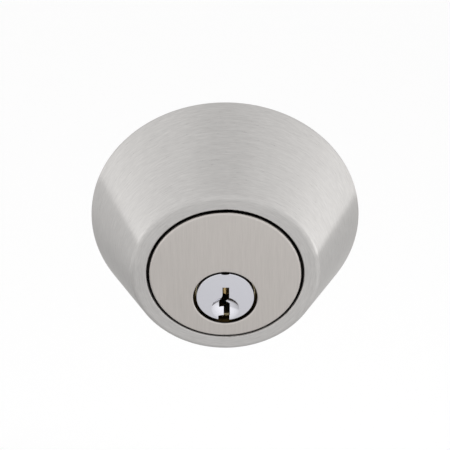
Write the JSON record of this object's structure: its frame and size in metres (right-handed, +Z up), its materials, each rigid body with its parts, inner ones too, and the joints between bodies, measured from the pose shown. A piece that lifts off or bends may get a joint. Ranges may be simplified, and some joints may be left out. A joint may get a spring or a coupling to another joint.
{
  "type": "deadbolt door lock",
  "caption": "Outside half of a deadbolt lock: a tapered, freely turning guard round a pin tumbler cylinder with a keyed plug, screw posts and a tailpiece.",
  "frame": {"origin": "centre of the door hole in the plane of the door's outside face, on the axis of the tapered guard", "axes": "-Y points out of the door towards the key, +Z up, +X right as seen from outside the door"},
  "size_m": [0.066, 0.0743, 0.066],
  "materials": {
    "satin_nickel_guard": "turned satin nickel",
    "satin_nickel_face": "satin nickel brushed straight",
    "zinc_casting": "die-cast zinc alloy",
    "spring_steel": "bright spring steel",
    "hard_steel": "hardened steel",
    "zinc_plated_steel": "zinc plated steel",
    "chromed_plug": "brass with a bright chromed face",
    "brass": "turned brass"
  },
  "bodies": {
    "cylinder": {"cylinder_body": "brass", "face_cover": "satin_nickel_face", "mounting_collar": "zinc_casting", "snap_ring": "spring_steel", "spring_washer": "spring_steel", "spring_cover_strip": "brass", "anti_drill_pin_left": "hard_steel", "anti_drill_pin_right": "hard_steel", "pin_spring_1": "spring_steel", "pin_spring_2": "spring_steel", "pin_spring_3": "spring_steel", "pin_spring_4": "spring_steel", "pin_spring_5": "spring_steel"},
    "guard": {"guard": "satin_nickel_guard"},
    "plug": {"plug": "chromed_plug", "plug_cap": "brass", "cap_lock_spring": "spring_steel"},
    "lock_pin": {"cap_lock_pin": "hard_steel"},
    "tail": {"tailpiece": "zinc_plated_steel"},
    "key_pin_1": {"key_pin_1": "brass"},
    "driver_pin_1": {"driver_pin_1": "brass"},
    "key_pin_2": {"key_pin_2": "brass"},
    "driver_pin_2": {"driver_pin_2": "brass"},
    "key_pin_3": {"key_pin_3": "brass"},
    "driver_pin_3": {"driver_pin_3": "brass"},
    "key_pin_4": {"key_pin_4": "brass"},
    "driver_pin_4": {"driver_pin_4": "brass"},
    "key_pin_5": {"key_pin_5": "brass"},
    "driver_pin_5": {"driver_pin_5": "brass"}
  },
  "joints": [
    {"name": "guard_spin", "type": "hinge", "parent": "cylinder", "child": "guard", "pos_m": [0, 0, 0], "axis": [0, 1, 0], "continuous": true},
    {"name": "plug_turn", "type": "hinge", "parent": "cylinder", "child": "plug", "pos_m": [0, 0, -0.0065], "axis": [0, 1, 0], "range_deg": [-90, 90]},
    {"name": "tail_swing", "type": "hinge", "parent": "plug", "child": "tail", "pos_m": [0, 0, -0.0065], "axis": [0, 1, 0], "range_deg": [0, 90]},
    {"name": "cap_lock_pin_press", "type": "slide", "parent": "plug", "child": "lock_pin", "axis": [0, -1, 0], "range_m": [0, 0.0011], "stiffness_N_per_m": 5, "springref_m": -0.0002, "deforming": ["cap_lock_spring"]},
    {"name": "key_pin_1_lift", "type": "slide", "parent": "plug", "child": "key_pin_1", "axis": [0, 0, 1], "range_m": [-0.0003, 0]},
    {"name": "key_pin_2_lift", "type": "slide", "parent": "plug", "child": "key_pin_2", "axis": [0, 0, 1], "range_m": [-0.0018, 0]},
    {"name": "key_pin_3_lift", "type": "slide", "parent": "plug", "child": "key_pin_3", "axis": [0, 0, 1], "range_m": [-0.0028, 0]},
    {"name": "key_pin_4_lift", "type": "slide", "parent": "plug", "child": "key_pin_4", "axis": [0, 0, 1], "range_m": [-0.0013, 0]},
    {"name": "key_pin_5_lift", "type": "slide", "parent": "plug", "child": "key_pin_5", "axis": [0, 0, 1], "range_m": [-0.0033, 0]},
    {"name": "driver_pin_1_lift", "type": "slide", "parent": "cylinder", "child": "driver_pin_1", "axis": [0, 0, 1], "range_m": [0, 0.0035], "stiffness_N_per_m": 20, "springref_m": -0.001, "deforming": ["pin_spring_1"]},
    {"name": "driver_pin_2_lift", "type": "slide", "parent": "cylinder", "child": "driver_pin_2", "axis": [0, 0, 1], "range_m": [0, 0.0035], "stiffness_N_per_m": 20, "springref_m": -0.001, "deforming": ["pin_spring_2"]},
    {"name": "driver_pin_3_lift", "type": "slide", "parent": "cylinder", "child": "driver_pin_3", "axis": [0, 0, 1], "range_m": [0, 0.0035], "stiffness_N_per_m": 20, "springref_m": -0.001, "deforming": ["pin_spring_3"]},
    {"name": "driver_pin_4_lift", "type": "slide", "parent": "cylinder", "child": "driver_pin_4", "axis": [0, 0, 1], "range_m": [0, 0.0035], "stiffness_N_per_m": 20, "springref_m": -0.001, "deforming": ["pin_spring_4"]},
    {"name": "driver_pin_5_lift", "type": "slide", "parent": "cylinder", "child": "driver_pin_5", "axis": [0, 0, 1], "range_m": [0, 0.0035], "stiffness_N_per_m": 20, "springref_m": -0.001, "deforming": ["pin_spring_5"]}
  ]
}
